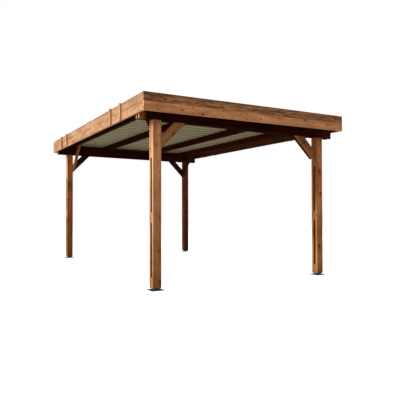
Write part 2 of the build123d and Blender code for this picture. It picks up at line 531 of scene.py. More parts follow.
def damp_and_shade_marks(graph, height, damp, weathering):
    """Splashes over the ground, a band under the beams that is painted shade and partly damp, and a dark rim
    along the top.
    """
    top = cad_box[1].z
    splash = (1.0 - graph.smooth(height, *SPLASH_HEIGHTS)) * damp
    # Painted shade under the beams, partly damp.
    head = graph.band(height, *(top - depth for depth in HEAD_SHADE_DEPTHS)) * damp
    rim = graph.smooth(height, *(top - depth for depth in RIM_DEPTHS))
    return splash * (SPLASH_SHARE + weathering) + head * HEAD_SHADE_SHARE + rim * RIM_SHARE


def shaded_board_tone(graph, tone, site, rafter_edge):
    """Tone of a board, with painted shade that darkens it towards the ground, and painted light that makes
    it paler beyond the edge rafters where one is given.
    """
    aside, back, height = graph.parts(site)
    # Painted shade: darker towards the ground.
    tone = tone * (GROUND_SHADE_TONE + graph.smooth(height, *GROUND_SHADE_HEIGHTS) * (1.0 - GROUND_SHADE_TONE))
    if rafter_edge:
        # Painted light on the beam ends beyond the edge rafters, and faintly towards the right end.
        lit_left_end = graph.smooth(aside, *(-rafter_edge - reach for reach in LIT_END_REACH))
        tone = tone + lit_left_end * graph.smooth(back, *LIT_END_BACK) * LIT_END_TONE
        tone = tone + graph.smooth(aside, rafter_edge * RIGHT_FROM_SHARE, rafter_edge) * RIGHT_LIGHT_TONE
        tone = tone + graph.smooth(aside, rafter_edge, rafter_edge + LIT_END_REACH[0]) * RIGHT_END_LIGHT_TONE
    return tone


def timber_material(name, timber, gloss, rafter_edge=None):
    """Stained softwood. The timber attribute runs along the grain, across the board and through it;
    the finish attribute holds tone, weathering and knots, the edge attribute arris, bare ends and amber."""
    graph, close = new_material(name)
    place = graph.attribute("timber")
    tone, weathering, knots = graph.parts(graph.attribute("finish"))
    arris, bare_end, amber = graph.parts(graph.attribute("edge"))
    site = graph.place()
    height = graph.parts(site)[2]

    ragged = (graph.noise(place, RAGGED_WAVES) - 0.5) * RAGGED_DEPTH
    share = knot_row(graph, place, knots, timber.knot_spacing, timber.knot_radius, KNOT_LEAST, ragged)
    knot = 1.0 - graph.smooth(share, *KNOT_EDGE)
    knot_rim = graph.band(share, *KNOT_RIM)
    swirl = 1.0 - graph.smooth(share, *KNOT_SWIRL)
    ragged = ragged * PIN_RAGGED_SHARE
    share = knot_row(graph, place, knots, timber.pin_spacing, timber.pin_radius, PIN_LEAST, ragged)
    pin_knot = 1.0 - graph.smooth(share, *PIN_EDGE)

    late_wood = growth_rings(graph, place, swirl, timber.ring_width)
    broad, fibre, cloud, crack, rain, blotch = (
        grain_noise(graph, place, *kind)
        for kind in (BROAD_STREAKS, FIBRES, CLOUDS, DRYING_CRACKS, RAIN_STREAKS, BLOTCHES))
    crack = 1.0 - graph.smooth(graph.math("ABSOLUTE", crack - 0.5), *CRACK_EDGE)
    crack = crack * graph.smooth(cloud, *CRACK_PATCH)
    rain = graph.smooth(rain * 0.55 + blotch * 0.45, *RAIN_EDGE) * weathering
    damp = graph.smooth(cloud * 0.6 + fibre * 0.4, *DAMP_EDGE)

    streak = broad * 0.5 + fibre * 0.18 + cloud * 0.85 - 0.265
    stains = (timber.stain_dark, timber.stain_middle, timber.stain_light)
    colour = graph.ramp(streak, list(zip(STAIN_STOPS, stains)))
    # The last mask holds the damp marks with the painted shade under the beams.
    for mask, tint in (
            (late_wood * 0.38, timber.stain_dark),
            (rain * 0.9, timber.weathered_and_shade),
            (swirl * 0.3, timber.stain_dark),
            (pin_knot * 0.75, timber.knot),
            (knot * 0.8, timber.knot),
            (knot_rim * 0.6, timber.knot),
            (crack * 0.85, timber.knot),
            (damp_and_shade_marks(graph, height, damp, weathering), timber.weathered_and_shade)):
        colour = graph.mix(mask, colour, tint)

    tone = shaded_board_tone(graph, tone, site, rafter_edge)
    deep = graph.math("MINIMUM", tone, 1.0) * (1.0 - amber)
    depth = graph.vector(tone, tone * deep ** GREEN_DEPTH, tone * deep ** BLUE_DEPTH)
    colour = graph.vector_math("MULTIPLY", colour, depth)
    colour = graph.mix(arris * graph.smooth(cloud, *WEAR_PATCH) * 0.5, colour, timber.bare)
    end_grain = graph.mix(late_wood * 0.5 + fibre * 0.2, timber.bare, timber.stain_dark)
    colour = graph.mix(bare_end, colour, end_grain)

    roughness = 0.62 + (fibre - 0.5) * 0.25 - late_wood * 0.1 + rain * 0.12 + (1.0 - deep) * 0.3
    relief = fibre * 0.5 + late_wood * 0.45 - crack * 2.5 - knot * 0.4 + broad * 0.4
    normal = graph.bump(relief, GRAIN_DEPTH)
    return close(Base_Color=colour, Roughness=roughness, Normal=normal, Specular_IOR_Level=gloss)


def stained_timber(timber):
    """Stained softwood of posts, braces and fascia."""
    return material("stained softwood", timber_material, timber, STAIN_GLOSS)


def frame_timber(timber):
    """Softwood of beams, rafters and most side braces, with a dark matt finish that is painted shade under
    the roof, and painted light at a beam end.
    """
    rafter_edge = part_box("rafter_edge_right")[1].x
    return material("dark stained softwood", timber_material, timber, DARK_GLOSS, rafter_edge)


# Noise on the steel: waves a metre, detail and roughness. Streaks run across the bay.
STREAK_WAVES = (0.7, 16.0, 0.0)
STREAKS = (1.0, 4.0, 0.6)
MOTTLE = (9.0, 4.0, 0.6)
SPECK_WAVES = 420.0
ORANGE_PEEL_WAVES = 700.0
DUST_PATCHES = (26.0, 4.0, 0.65)
GRIME = (160.0, 3.0, 0.6)
# Where masks on the steel begin and end.
FACING_UP = (0.0, 0.5)
DIRT_EDGE = (0.42, 0.68)
RIB_SHADE_HEIGHTS = (0.0, 0.012)
DUST_HEIGHTS = (0.004, 0.03)
DUST_EDGE = (0.4, 0.7)
GRIME_EDGE = (0.45, 0.8)
GRIME_SHARE = 0.35


def sheet_material(name, steel):
    """Matt coat on the roof sheets, dusty on top, with painted shade inside the ribs below."""
    graph, close = new_material(name)
    place = graph.place()
    x, _, z = graph.parts(place)
    normal = graph.add("ShaderNodeNewGeometry", None, None, "Normal")
    facing_up = graph.smooth(graph.parts(normal)[2], *FACING_UP)
    streaks = graph.noise(graph.vector_math("MULTIPLY", place, STREAK_WAVES), *STREAKS)
    mottle = graph.noise(place, *MOTTLE)
    speck = graph.noise(place, SPECK_WAVES)
    level = pan_top(SHEETS[0], 0.0)
    slope = pan_top(SHEETS[0], 1.0) - level
    # Painted shade inside the ribs, on the underside only.
    rib_shade = graph.smooth(z - x * slope - level, *RIB_SHADE_HEIGHTS) * (1.0 - facing_up)
    dirt = graph.smooth(streaks * 0.6 + mottle * 0.4, *DIRT_EDGE) * facing_up
    colour = graph.mix(facing_up, steel.under_coat, steel.top_coat)
    colour = graph.mix((mottle - 0.5) * 0.5 + streaks * 0.3, colour, steel.dust)
    colour = graph.mix(dirt * 0.55, colour, steel.dust)
    colour = graph.mix(rib_shade * 0.85, colour, steel.rib_shade)
    return close(
        Base_Color=colour, Roughness=0.56 + dirt * 0.3 + (mottle - 0.5) * 0.2,
        Normal=graph.bump(speck, SHEET_DEPTH), Specular_IOR_Level=SHEET_GLOSS)


def foot_material(name, steel):
    """Black powder coat with dust low down."""
    graph, close = new_material(name)
    place = graph.place()
    height = graph.parts(place)[2]
    orange_peel = graph.noise(place, ORANGE_PEEL_WAVES)
    patch = graph.noise(place, *DUST_PATCHES)
    dust = (1.0 - graph.smooth(height, *DUST_HEIGHTS)) * 0.35 + 0.12
    dust = dust * graph.smooth(patch, *DUST_EDGE)
    colour = graph.mix(dust, steel.foot_coat, steel.dust)
    normal = graph.bump(orange_peel, FOOT_DEPTH)
    return close(Base_Color=colour, Roughness=0.42 + dust * 0.5, Normal=normal)


def metal_material(name, tint, metallic, roughness):
    """Plated, lacquered or bronzed steel of a small fastener."""
    graph, close = new_material(name)
    grime = graph.noise(graph.place(), *GRIME)
    grimy = [value * GRIME_SHARE for value in tint]
    colour = graph.mix(graph.smooth(grime, *GRIME_EDGE) * 0.6, tint, grimy)
    return close(
        Base_Color=colour, Metallic=metallic, Roughness=roughness + (grime - 0.5) * 0.3,
        Normal=graph.bump(grime, METAL_DEPTH), Specular_IOR_Level=METAL_GLOSS)


FLAT_ANGLE = math.radians(1)
SHARP_ANGLE = math.radians(25)
ARRIS_SEGMENTS = 2
ROUND_PROFILE = 0.5
ATTRIBUTES = ("timber", "finish", "edge")
# Least lean of a face towards the grain for end grain, most for an arris, and least towards a named way.
END_GRAIN_LEAN = 0.6
ARRIS_LEAN = 0.97
FACE_LEAN = 0.3
# Tone of beams and rafters, which is painted shade under the roof, and the tone under which a board takes
# the dark matt finish for painted shade.
FRAME_SHADE_TONE = 0.065
SHADE_FINISH_BELOW = 0.3
# Random limits of where a board was sawn from its log, along, across and through, and of its tone.
GRAIN_SHIFT = ((3, 60), (-0.03, 0.03), (-0.012, 0.012))
TONE_SPREAD = (0.93, 1.07)


def ease_edges(mesh, arris):
    """Rounds every sharp edge of a bmesh."""
    bmesh.ops.dissolve_limit(mesh, angle_limit=FLAT_ANGLE, verts=mesh.verts[:], edges=mesh.edges[:])
    sharp = [edge for edge in mesh.edges if edge.calc_face_angle(0.0) > SHARP_ANGLE]
    bmesh.ops.bevel(
        mesh, geom=sharp, offset=arris, offset_type="OFFSET", segments=ARRIS_SEGMENTS,
        profile=ROUND_PROFILE, affect="EDGES", clamp_overlap=True)


def eased_node(node, arris):
    """Copy of a CAD node with rounded edges."""
    mesh = bmesh.new()
    mesh.from_mesh(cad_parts[node].data)
    bmesh.ops.remove_doubles(mesh, verts=mesh.verts[:], dist=MERGE_GAP)
    ease_edges(mesh, arris)
    return mesh


def eased_block(low, high, arris, drop=0.0):
    """Block between two corners with rounded edges, its top lower by a drop at the right."""
    mesh = bmesh.new()
    bmesh.ops.create_cube(mesh, size=1.0)
    centre, size = middle((low, high)), high - low
    for vert in mesh.verts:
        top_right = vert.co.z > 0 and vert.co.x > 0
        vert.co = centre + Vector(a * b for a, b in zip(vert.co, size))
        vert.co.z -= drop if top_right else 0.0
    ease_edges(mesh, arris)
    return mesh


def lay_grain(
        mesh, name, grain, flat, tone=1.0, lift=0.0, weathering=0.0, knots=1.0, bare=0.0, amber=0.0,
        faces=()):
    """Writes the timber, finish and edge attributes of one board. Grain runs along it and flat through it,
    lift is painted light that makes it paler towards the ground, and faces gives ways with the tone and
    amber of faces there, which are painted light and shade."""
    draw = random.Random(zlib.crc32(name.encode()))
    shift = Vector([draw.uniform(*limits) for limits in GRAIN_SHIFT])
    tone *= draw.uniform(*TONE_SPREAD)
    corners = [vert.co for vert in mesh.verts]
    centre = sum(corners, Vector()) / len(corners)
    side = flat.cross(grain)
    layers = mesh.loops.layers.float_vector
    timber_layer, finish_layer, edge_layer = (layers.new(attribute) for attribute in ATTRIBUTES)
    mesh.normal_update()
    for face in mesh.faces:
        leans = [abs(face.normal.dot(way)) for way in (grain, side, flat)]
        bare_end = bare if leans[0] > END_GRAIN_LEAN else 0.0
        arris = min(tone, 1.0) if max(leans) < ARRIS_LEAN else 0.0
        # Painted light and shade on single faces.
        other = [finish for way, *finish in faces if face.normal.dot(way) > FACE_LEAN]
        face_tone, face_amber = other[0] if other else (tone, amber)
        for loop in face.loops:
            out = loop.vert.co - centre
            loop[timber_layer] = Vector((out.dot(grain), out.dot(side), out.dot(flat))) + shift
            low_down = 1.0 - loop.vert.co.z / cad_box[1].z
            # Lift is painted light: paler towards the ground.
            loop[finish_layer] = Vector((face_tone * (1.0 + lift * low_down), weathering, knots))
            loop[edge_layer] = Vector((0.0 if other else arris, bare_end, face_amber))


def link_piece(name, data, finish, nodes=()):
    """Object from a mesh, riding on the carport's only body, in place of CAD nodes where given."""
    data.materials.clear()
    data.materials.append(finish)
    piece = bpy.data.objects.new(name, data)
    bpy.context.scene.collection.objects.link(piece)
    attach(piece, "root")
    if nodes:
        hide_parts(*nodes)


def joined(name, boards):
    """One mesh from the bmeshes of several boards."""
    whole = bmesh.new()
    for attribute in ATTRIBUTES:
        whole.loops.layers.float_vector.new(attribute)
    for board in boards:
        part = bpy.data.meshes.new("part")
        board.to_mesh(part)
        board.free()
        whole.from_mesh(part)
        bpy.data.meshes.remove(part)
    data = bpy.data.meshes.new(name)
    whole.to_mesh(data)
    whole.free()
    return data


def add_board(context, node, grain, flat, arris, slot, tone, **finish):
    """One board in place of its CAD node, with the dark matt finish for painted shade where its tone is low.
    """
    board = eased_node(node, arris)
    lay_grain(board, node, grain.normalized(), flat, tone, **finish)
    stain = (frame_timber if tone < SHADE_FINISH_BELOW else stained_timber)(context.scene.carport_timber)
    link_piece(f"{node}_board", joined(f"{node}_board", [board]), stain, (node,))


# Finish of each post, where lift is painted light that makes a post paler towards the ground; then the tone
# and amber of single faces by the way they look, painted light on the left face of the rear left post and
# painted shade on the rear right post; and the tone and amber inside its slots, which is painted shade.
POST_FINISH = {
    "front_left": {"tone": 1.27, "lift": 0.2, "amber": 0.08, "weathering": 0.12},
    "front_right": {"tone": 0.78, "lift": 1.75, "amber": 0.38, "knots": 1.5, "weathering": 0.35},
    "rear_left": {"amber": 0.45},
    "rear_right": {"amber": 0.2},
}
POST_FACE_LIGHT_AND_SHADE = {
    "rear_left": [(-ACROSS, 1.4, 0.15)],
    "rear_right": [(-(ACROSS + ALONG).normalized(), 0.32, 0.2)],
}
SLOT_SHADE = {
    "front_left": (0.35, 0.3),
    "front_right": (0.5, 0.5),
    "rear_left": (0.5, 0.45),
    "rear_right": (0.4, 0.2),
}


def post_boards(corner, arris):
    """The front and rear board of one post and the blocks between them."""
    end, _ = corner.split("_")
    node = f"post_{corner}"
    low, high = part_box(node)
    layer_front, layer_rear = layer_planes(end)
    left, right = shoulder_levels(node, layer_front)
    drop = left - right
    finish = POST_FINISH[corner]
    faces = POST_FACE_LIGHT_AND_SHADE.get(corner, [])
    boards = []
    for word, near, far in (("front", low.y, layer_front), ("rear", layer_rear, high.y)):
        board = eased_block(Vector((low.x, near, low.z)), Vector((high.x, far, left)), arris, drop)
        # Painted shade on the walls inside the slots.
        slot_shade = (-WAY[word], *SLOT_SHADE[corner])
        lay_grain(board, f"{node}_{word}", UP, ALONG, **finish, faces=[slot_shade, *faces])
        boards.append(board)
    for bottom, top in block_levels(corner, high.z):
        block = eased_block(
            Vector((low.x, layer_front, bottom)), Vector((high.x, layer_rear, top)), arris,
            drop if top == high.z else 0.0)
        lay_grain(block, f"{node}_{bottom:.2f}", UP, ALONG, **finish | {"knots": 0.0}, faces=faces)
        boards.append(block)
    return boards


class CARPORT_OT_posts(bpy.types.Operator):
    """Posts of three layers, with blocks and open slots in the middle layer"""

    bl_idname = "carport.posts"
    bl_label = "Posts"

    def execute(self, context):
        timber = context.scene.carport_timber
        for corner in CORNERS:
            node = f"post_{corner}"
            data = joined(node, post_boards(corner, timber.board_arris))
            link_piece(f"{node}_boards", data, stained_timber(timber), (node,))
        return {"FINISHED"}


# How bare the sawn ends of the two boards of a beam are.
BEAM_END = {"outer": 0.75, "inner": 0.35}


class CARPORT_OT_beams(bpy.types.Operator):
    """Twin beam boards across the front and the rear"""

    bl_idname = "carport.beams"
    bl_label = "Beams"

    def execute(self, context):
        arris = context.scene.carport_timber.board_arris
        for end in ENDS:
            for board in PAIR:
                # The beams' dark tone is painted shade under the roof.
                add_board(
                    context, f"beam_{end}_{board}", ACROSS, ALONG, arris, "frame_timber", FRAME_SHADE_TONE,
                    bare=BEAM_END[board])
        return {"FINISHED"}


class CARPORT_OT_rafters(bpy.types.Operator):
    """Rafters from the front to the rear"""

    bl_idname = "carport.rafters"
    bl_label = "Rafters"

    def execute(self, context):
        arris = context.scene.carport_timber.board_arris
        for node in RAFTERS:
            # The rafters' dark tone is painted shade under the roof.
            add_board(context, node, ALONG, ACROSS, arris, "frame_timber", FRAME_SHADE_TONE)
        return {"FINISHED"}


# Tone of the cross brace and of the side brace at each post, where the dark side brace tones are painted
# shade under the roof and the paler rear left one painted light, and the painted shade on rear cross braces
# towards the bay.
BRACE_TONE = {
    "front_left": (0.78, 0.1),
    "front_right": (0.74, 0.1),
    "rear_left": (0.75, 0.48),
    "rear_right": (0.75, 0.08),
}
BRACE_BAY_SHADE = 0.08


class CARPORT_OT_braces(bpy.types.Operator):
    """Braces across the bay and along the sides"""

    bl_idname = "carport.braces"
    bl_label = "Braces"

    def execute(self, context):
        arris = context.scene.carport_timber.board_arris
        for corner in CORNERS:
            end, side = corner.split("_")
            inward, back = -WAY[side], -WAY[end]
            cross, along = BRACE_TONE[corner]
            # Painted shade on the faces of the rear cross braces towards the bay.
            bay_shade_ways = [-ALONG, (inward - UP).normalized()] if end == "rear" else []
            add_board(
                context, f"cross_brace_{corner}", UP + inward, ALONG, arris, "frame_timber", cross,
                faces=[(way, BRACE_BAY_SHADE, 0.0) for way in bay_shade_ways])
            add_board(context, f"side_brace_{corner}", UP + back, ACROSS, arris, "frame_timber", along)
        return {"FINISHED"}


# Each course of the fascia with its tone, its weathering and the tone of its inner face, which is painted
# shade under the roof.
FASCIA_FINISH = {
    "front": (("upper", 1.08, 1.0, 0.3), ("lower", 1.4, 0.08, 0.12)),
    "rear": (("upper", 0.95, 0.8, 0.1), ("lower", 1.15, 0.15, 0.08)),
    "left": (("upper", 0.88, 0.2, 0.3), ("lower", 0.9, 0.1, 0.12)),
    "right": (("upper", 0.9, 0.5, 0.3), ("lower", 1.05, 0.1, 0.16)),
}
FASCIA_KNOTS = {"front": 0.8, "rear": 0.8, "left": 0.5, "right": 0.6}
STRIP_TONE = 1.2
STRIP_KNOTS = 0.4


class CARPORT_OT_fascia(bpy.types.Operator):
    """Fascia of two boards on each side and its upright cover strips"""

    bl_idname = "carport.fascia"
    bl_label = "Fascia"

    def execute(self, context):
        arris = context.scene.carport_timber.trim_arris
        for face, courses in FASCIA_FINISH.items():
            grain, flat = (ACROSS, ALONG) if face in ENDS else (ALONG, ACROSS)
            for course, tone, weathering, inside in courses:
                # Painted shade on the inner face of each fascia board.
                add_board(
                    context, f"fascia_{face}_{course}", grain, flat, arris, "fascia_timber", tone,
                    weathering=weathering, knots=FASCIA_KNOTS[face], faces=[(-WAY[face], inside, 0.0)])
        for side in SIDES:
            for end in ENDS:
                for strip in PAIR:
                    add_board(
                        context, f"cover_strip_{side}_{end}_{strip}", UP, ACROSS, arris, "fascia_timber",
                        STRIP_TONE, knots=STRIP_KNOTS)
        return {"FINISHED"}


def dress(node, finish):
    """Puts one finish in all material slots of a CAD node."""
    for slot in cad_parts[node].material_slots:
        slot.material = finish


class CARPORT_OT_roof(bpy.types.Operator):
    """Coat on the ribbed roof sheets"""

    bl_idname = "carport.roof"
    bl_label = "Roof sheets"

    def execute(self, context):
        coat = material("roof sheet coat", sheet_material, context.scene.carport_steel)
        for sheet in SHEETS:
            dress(sheet, coat)
        return {"FINISHED"}


class CARPORT_OT_feet(bpy.types.Operator):
    """Powder coat on the steel feet"""

    bl_idname = "carport.feet"
    bl_label = "Feet"

    def execute(self, context):
        coat = material("foot powder coat", foot_material, context.scene.carport_steel)
        for corner in CORNERS:
            dress(f"foot_{corner}", coat)
        return {"FINISHED"}


HEAD_INPUTS = ("Radius", "Rise", "Washer Radius", "Washer Rise")
SCREW_SIDES = 12
HEXAGON_SIDES = 6
WASHER_SIDES = 20
UPRIGHT_SHARE = 0.6
CROWN_SHARE = 0.84
RECESS_SHARE = 0.5
RECESS_DEPTH_SHARE = 0.8
RECESS_FLOOR_SHARE = 0.9
WASHER_UPRIGHT_SHARE = 0.5
WASHER_CROWN_SHARE = 0.94
TURN_SEED = 7


def raised(graph, shape, top, offset, share):
    """Pushes the top face of a shape up and scales it."""
    shape = graph.add("GeometryNodeExtrudeMesh", None, {
        "Mesh": shape, "Selection": top, "Offset": graph.vector(0.0, 0.0, offset), "Offset Scale": 1.0,
        "Individual": False})
    top = shape.out("Top")
    sockets = {"Geometry": shape, "Selection": top, "Scale": share}
    return graph.add("GeometryNodeScaleElements", None, sockets), top


def closed_disc(graph, sides, radius, steps):
    """Round or cornered disc, raised in steps of height and share of its width, with its underside."""
    sockets = {"Vertices": sides, "Radius": radius}
    disc = graph.add("GeometryNodeMeshCircle", {"fill_type": "NGON"}, sockets)
    under = graph.add("GeometryNodeFlipFaces", None, {"Mesh": disc})
    shape, top = disc, True
    for offset, share in steps:
        shape, top = raised(graph, shape, top, offset, share)
    whole = graph.add("GeometryNodeJoinGeometry", None, {"Geometry": [shape, under]})
    return graph.add("GeometryNodeMergeByDistance", None, {"Geometry": whole, "Distance": MERGE_GAP})


def crowned(rise, upright_share, crown_share):
    """Steps of a disc that rises upright and then closes in to a crown."""
    return [(rise * upright_share, 1.0), (rise * (1.0 - upright_share), crown_share)]


def head_tree(name, sides, recess):
    """Geometry Nodes tree that sets a head on a washer at every point, facing along the way attribute."""
    tree = bpy.data.node_groups.new(name, "GeometryNodeTree")
    tree.interface.new_socket("Geometry", in_out="INPUT", socket_type="NodeSocketGeometry")
    for size in HEAD_INPUTS:
        tree.interface.new_socket(size, in_out="INPUT", socket_type="NodeSocketFloat")
    tree.interface.new_socket("Material", in_out="INPUT", socket_type="NodeSocketMaterial")
    tree.interface.new_socket("Geometry", in_out="OUTPUT", socket_type="NodeSocketGeometry")
    graph = Graph(tree)
    entry = graph.add("NodeGroupInput")
    radius, rise, washer_radius, washer_rise = (entry.out(size) for size in HEAD_INPUTS)
    steps = crowned(rise, UPRIGHT_SHARE, CROWN_SHARE)
    if recess:
        steps += [(0.0, RECESS_SHARE), (rise * -RECESS_DEPTH_SHARE, RECESS_FLOOR_SHARE)]
    head = closed_disc(graph, sides, radius, steps)
    lift = graph.vector(0.0, 0.0, washer_rise)
    head = graph.add("GeometryNodeTransform", None, {"Geometry": head, "Translation": lift})
    steps = crowned(washer_rise, WASHER_UPRIGHT_SHARE, WASHER_CROWN_SHARE)
    washer = closed_disc(graph, WASHER_SIDES, washer_radius, steps)
    shape = graph.add("GeometryNodeJoinGeometry", None, {"Geometry": [head, washer]})
    way = graph.add("GeometryNodeInputNamedAttribute", {"data_type": "FLOAT_VECTOR"}, {"Name": "way"})
    facing = graph.add("FunctionNodeAlignRotationToVector", {"axis": "Z"}, {"Vector": way})
    limits = {2: 0.0, 3: math.tau, "Seed": TURN_SEED}
    angle = graph.add("FunctionNodeRandomValue", {"data_type": "FLOAT"}, limits, 1)
    turn = graph.add("FunctionNodeAxisAngleToRotation", None, {"Axis": UP, "Angle": angle})
    sockets = {"Rotation": facing, "Rotate By": turn}
    facing = graph.add("FunctionNodeRotateRotation", {"rotation_space": "LOCAL"}, sockets)
    sockets = {"Points": entry, "Instance": shape, "Rotation": facing}
    heads = graph.add("GeometryNodeInstanceOnPoints", None, sockets)
    heads = graph.add("GeometryNodeRealizeInstances", None, {"Geometry": heads})
    sockets = {"Geometry": heads, "Material": entry.out("Material")}
    heads = graph.add("GeometryNodeSetMaterial", None, sockets)
    graph.add("NodeGroupOutput", None, {"Geometry": heads})
    return tree


def set_heads(context, name, tree, spots, sizes, finish):
    """Plain mesh of heads at spots, which are pairs of a place and an outward way."""
    dots = bpy.data.meshes.new(f"{name}_points")
    dots.from_pydata([place for place, _ in spots], [], [])
    ways = dots.attributes.new("way", "FLOAT_VECTOR", "POINT")
    ways.data.foreach_set("vector", [value for _, way in spots for value in way])
    holder = bpy.data.objects.new(f"{name}_points", dots)
    context.scene.collection.objects.link(holder)
    modifier = holder.modifiers.new("heads", "NODES")
    modifier.node_group = tree
    inputs = {item.name: item.identifier for item in tree.interface.items_tree if item.in_out == "INPUT"}
    for size, value in zip(HEAD_INPUTS, sizes):
        modifier[inputs[size]] = value
    modifier[inputs["Material"]] = finish
    context.view_layer.update()
    plain = bpy.data.meshes.new_from_object(holder.evaluated_get(context.evaluated_depsgraph_get()))
    holder.modifiers.remove(modifier)
    bpy.data.objects.remove(holder)
    mesh = bmesh.new()
    mesh.from_mesh(plain)
    bmesh.ops.recalc_face_normals(mesh, faces=mesh.faces[:])
    mesh.to_mesh(plain)
    mesh.free()
    link_piece(name, plain, finish)


# Screws in the fascia: columns from a board's left end, and rows in from the edges of boards and strips.
FASCIA_COLUMNS = (0.19, 0.69, 1.16, 1.56, 2.03, 2.45, 2.8, 3.22)
FASCIA_ROW = 0.024
STRIP_ROW = 0.03


def edge_rows(box, inset):
    """Heights of two rows of screws, inset from the lower and the upper edge of a box."""
    return box[0].z + inset, box[1].z - inset


def fascia_spots(course):
    """Pairs of screws through one course of the front and rear fascia boards."""
    spots = []
    for end in ENDS:
        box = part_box(f"fascia_{end}_{course}")
        for column in FASCIA_COLUMNS:
            for z in edge_rows(box, FASCIA_ROW):
                spots.append((Vector((box[0].x + column, face_at(box, WAY[end]), z)), WAY[end]))
    return spots


def side_spots():
    """Screws through the side fascia boards into the beam ends, and through the cover strips."""
    spots = []
    for side in SIDES:
        for course in ("upper", "lower"):
            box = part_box(f"fascia_{side}_{course}")
            for end in ENDS:
                for board in PAIR:
                    y = middle(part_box(f"beam_{end}_{board}")).y
                    for z in edge_rows(box, FASCIA_ROW):
                        spots.append((Vector((face_at(box, WAY[side]), y, z)), WAY[side]))
        for end in ENDS:
            for strip in PAIR:
                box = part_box(f"cover_strip_{side}_{end}_{strip}")
                y, seam = middle(box).yz
                lowest, highest = edge_rows(box, STRIP_ROW)
                for z in (lowest, seam - STRIP_ROW, seam + STRIP_ROW, highest):
                    spots.append((Vector((face_at(box, WAY[side]), y, z)), WAY[side]))
    return spots


# Screws in a post: in from a block's ends, aside of its middle, and how far up a long block they reach.
BLOCK_ROW = 0.032
BLOCK_STAGGER = 0.022
BLOCK_REACH = 0.34
# Steps of the screws along a cross brace, up and inward from its foot.
BRACE_FOOT = (0.045, 0.1)


def frame_spots():
    """Screws through the post boards into the blocks, and through the feet of the cross braces."""
    spots = []
    for corner in CORNERS:
        end, side = corner.split("_")
        low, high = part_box(f"post_{corner}")
        x = middle((low, high)).x
        beam_low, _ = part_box(f"beam_{end}_outer")
        for bottom, top in block_levels(corner, beam_low.z):
            top = min(top, bottom + BLOCK_REACH)
            for z, offset in ((bottom + BLOCK_ROW, -BLOCK_STAGGER), (top - BLOCK_ROW, BLOCK_STAGGER)):
                spots.append((Vector((x + offset, low.y, z)), -ALONG))
                spots.append((Vector((x - offset, high.y, z)), ALONG))
        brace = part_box(f"cross_brace_{corner}")
        foot = Vector((face_at(brace, WAY[side]), middle(brace).y, brace[0].z))
        inward = -WAY[side]
        for step in BRACE_FOOT:
            spots.append((foot + (inward + UP) * step, (inward - UP).normalized()))
    return spots


# Bolts at a post, by their step from its middle and their share of the beam's height.
BEAM_BOLTS = ((-0.028, 0.3), (0.028, 0.7))
# Bolts in a side brace, by their step and rise from its foot, and along it from a place near its head.
SIDE_BOLT_FOOT = ((0.012, 0.03), (0.026, 0.066))
SIDE_BOLT_HEAD = (0.021, -0.021)
SIDE_HEAD_BACK = 0.09
SIDE_HEAD_DROP = 0.042
# Height from the lower edge of a cross brace to its middle.
BRACE_HALF_RISE = 0.085


def bolt_spots():
    """Bolts through the beams at the posts and braces, and through both ends of the side braces."""
    spots = []
    for corner in CORNERS:
        end, side = corner.split("_")
        inward, back = -WAY[side], -WAY[end]
        beams = [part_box(f"beam_{end}_{board}") for board in PAIR]
        front = min(beam[0].y for beam in beams)
        rear = max(beam[1].y for beam in beams)
        low, high = beams[0]
        post_x = middle(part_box(f"post_{corner}")).x
        places = [(post_x + step, low.z + share * (high.z - low.z)) for step, share in BEAM_BOLTS]
        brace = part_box(f"cross_brace_{corner}")
        level = middle(beams[0]).z
        run = level - brace[0].z - BRACE_HALF_RISE
        places.append((face_at(brace, WAY[side]) + inward.x * run, level))
        for x, z in places:
            spots.append((Vector((x, front, z)), -ALONG))
            spots.append((Vector((x, rear, z)), ALONG))
        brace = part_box(f"side_brace_{corner}")
        x = face_at(brace, inward)
        foot_y = face_at(brace, WAY[end])
        head_y = face_at(brace, back)
        for step, rise in SIDE_BOLT_FOOT:
            spots.append((Vector((x, foot_y + back.y * step, brace[0].z + rise)), inward))
        head = Vector((x, head_y - back.y * SIDE_HEAD_BACK, brace[1].z - SIDE_HEAD_DROP))
        for step in SIDE_BOLT_HEAD:
            spots.append((head + (back + UP) * step, inward))
    return spots


# Ribs on the whole roof, from the front to the rear.
RIB_COUNT = 25


def roof_spots():
    """Screws through the pans of the roof sheets into the rafters, one between each two ribs."""
    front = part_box(SHEETS[0])[0].y
    pitch = (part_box(SHEETS[-1])[1].y - front) / RIB_COUNT
    spots = []
    for rafter in RAFTERS:
        x = middle(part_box(rafter)).x
        top = pan_top(SHEETS[0], x)
        for rib in range(1, RIB_COUNT):
            spots.append((Vector((x, front + rib * pitch, top)), UP))
    return spots


# Metallic and roughness of the fasteners' finishes.
METAL = {
    "bronzed steel": (0.6, 0.5),
    "brown lacquer": (0.1, 0.5),
    "black bolt": (0.0, 0.6),
    "zinc plate": (0.85, 0.4),
}


def metal(name, tint):
    """Finish of a fastener by name."""
    return material(name, metal_material, tint, *METAL[name])


class CARPORT_OT_screws(bpy.types.Operator):
    """Bronzed screws with cup washers in the fascia, small brown ones elsewhere"""

    bl_idname = "carport.screws"
    bl_label = "Screws"

    def execute(self, context):
        sizes = context.scene.carport_fasteners
        steel = context.scene.carport_steel
        tree = head_tree("screw heads", SCREW_SIDES, True)
        large = (sizes.screw_radius, sizes.screw_rise, sizes.cup_radius, sizes.cup_rise)
        small = (sizes.small_screw_radius, sizes.screw_rise, sizes.small_cup_radius, sizes.cup_rise)
        bronzed = metal("bronzed steel", steel.bronze)
        brown = metal("brown lacquer", steel.lacquer)
        set_heads(context, "fascia_screws", tree, fascia_spots("lower"), large, bronzed)
        set_heads(context, "side_screws", tree, fascia_spots("upper") + side_spots(), small, brown)
        set_heads(context, "frame_screws", tree, frame_spots(), small, brown)
        return {"FINISHED"}


